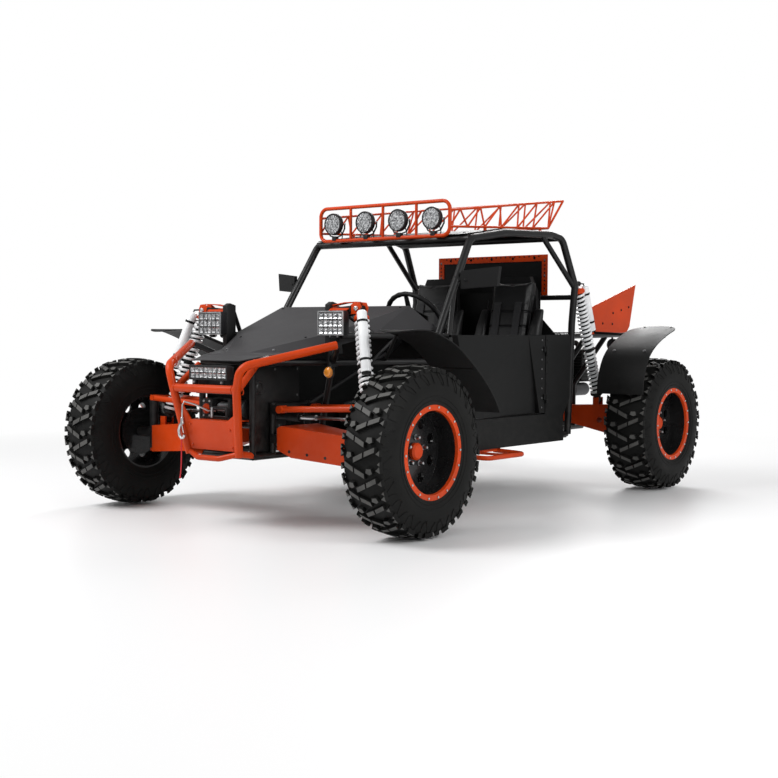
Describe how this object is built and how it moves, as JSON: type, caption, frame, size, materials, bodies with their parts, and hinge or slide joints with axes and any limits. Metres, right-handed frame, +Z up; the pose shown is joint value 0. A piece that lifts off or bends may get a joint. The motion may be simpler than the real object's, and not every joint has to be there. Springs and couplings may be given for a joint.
{
  "type": "two seat off-road dune buggy",
  "caption": "Open two seat off-road buggy: black tube frame and panels, orange bull bar, roof rack, arms and tail plates, long white coil shocks, lugged tyres, steering, doors that open.",
  "frame": {"origin": "on the ground under the middle of the vehicle's box", "axes": "+X forward, +Y to the driver's left, +Z up"},
  "size_m": [3.2735, 2.08, 1.6654],
  "materials": {
    "frame_black": "satin powder coat",
    "panel_black": "fine matt texture",
    "fender_black": "satin moulded",
    "orange_paint": "satin powder coat",
    "seat_black": "soft grained cover",
    "trim_black": "matt",
    "winch_black": "satin",
    "strap_red": "woven",
    "lamp_black": "satin housing",
    "signal_amber": "clear amber",
    "spring_white": "gloss paint",
    "cast_black": "dark cast",
    "bare_steel": "plain",
    "engine_grey": "cast",
    "tyre_rubber": "moulded rubber",
    "rim_black": "satin"
  },
  "bodies": {
    "chassis": {"chassis_frame": "frame_black", "floor_pan": "panel_black", "roll_cage": "frame_black", "roof_panel": "panel_black", "hood": "panel_black", "cowl": "panel_black", "side_pods": "panel_black", "firewall": "panel_black", "seats": "seat_black", "mirrors": "trim_black", "fenders": "fender_black", "front_bumper": "orange_paint", "winch": "winch_black", "hook_strap": "strap_red", "led_lamps": "lamp_black", "signal_lamps": "signal_amber", "roof_rack": "orange_paint", "roof_lamps": "lamp_black", "shock_towers": "frame_black", "shocks": "spring_white", "suspension_arms": "orange_paint", "rear_hubs": "cast_black", "engine": "engine_grey", "rear_plates": "orange_paint", "drilled_frame": "orange_paint", "side_steps": "orange_paint", "steering_gear": "cast_black"},
    "left_door": {"door_left": "panel_black"},
    "right_door": {"door_right": "panel_black"},
    "rack_bar": {"tie_rods": "bare_steel"},
    "hand_wheel": {"steering_wheel": "trim_black"},
    "left_knuckle": {"knuckle_left": "cast_black"},
    "right_knuckle": {"knuckle_right": "cast_black"},
    "front_left_wheel": {"tyre_front_left": "tyre_rubber", "rim_front_left": "rim_black", "wheel_trim_front_left": "orange_paint"},
    "front_right_wheel": {"tyre_front_right": "tyre_rubber", "rim_front_right": "rim_black", "wheel_trim_front_right": "orange_paint"},
    "rear_left_wheel": {"tyre_rear_left": "tyre_rubber", "rim_rear_left": "rim_black", "wheel_trim_rear_left": "orange_paint"},
    "rear_right_wheel": {"tyre_rear_right": "tyre_rubber", "rim_rear_right": "rim_black", "wheel_trim_rear_right": "orange_paint"}
  },
  "joints": [
    {"name": "steer_left", "type": "hinge", "parent": "chassis", "child": "left_knuckle", "pos_m": [1.242, 0.76, 0.381], "axis": [0, 0, 1], "range_deg": [-28, 28]},
    {"name": "steer_right", "type": "hinge", "parent": "chassis", "child": "right_knuckle", "pos_m": [1.242, -0.76, 0.381], "axis": [0, 0, 1], "range_deg": [-28, 28]},
    {"name": "rack_slide", "type": "slide", "parent": "chassis", "child": "rack_bar", "axis": [0, 1, 0], "range_m": [-0.06, 0.06]},
    {"name": "steering_wheel_turn", "type": "hinge", "parent": "chassis", "child": "hand_wheel", "pos_m": [0.372, 0.275, 0.955], "axis": [-0.848, 0, 0.5299], "range_deg": [-270, 270]},
    {"name": "front_left_roll", "type": "hinge", "parent": "left_knuckle", "child": "front_left_wheel", "pos_m": [1.242, 0.92, 0.381], "axis": [0, 1, 0], "continuous": true},
    {"name": "front_right_roll", "type": "hinge", "parent": "right_knuckle", "child": "front_right_wheel", "pos_m": [1.242, -0.92, 0.381], "axis": [0, 1, 0], "continuous": true},
    {"name": "rear_left_roll", "type": "hinge", "parent": "chassis", "child": "rear_left_wheel", "pos_m": [-1.158, 0.87, 0.381], "axis": [0, 1, 0], "continuous": true},
    {"name": "rear_right_roll", "type": "hinge", "parent": "chassis", "child": "rear_right_wheel", "pos_m": [-1.158, -0.87, 0.381], "axis": [0, 1, 0], "continuous": true},
    {"name": "left_door_swing", "type": "hinge", "parent": "chassis", "child": "left_door", "pos_m": [-0.298, 0.664, 0.68], "axis": [0, 0, 1], "range_deg": [0, 70]},
    {"name": "right_door_swing", "type": "hinge", "parent": "chassis", "child": "right_door", "pos_m": [-0.298, -0.664, 0.68], "axis": [0, 0, -1], "range_deg": [0, 70]}
  ],
  "couplings": [
    {"joint": "steer_right", "follows": "steer_left", "ratio": 1},
    {"joint": "rack_slide", "follows": "steer_left", "m_per_rad": -0.12},
    {"joint": "steering_wheel_turn", "follows": "steer_left", "ratio": 9.643}
  ]
}
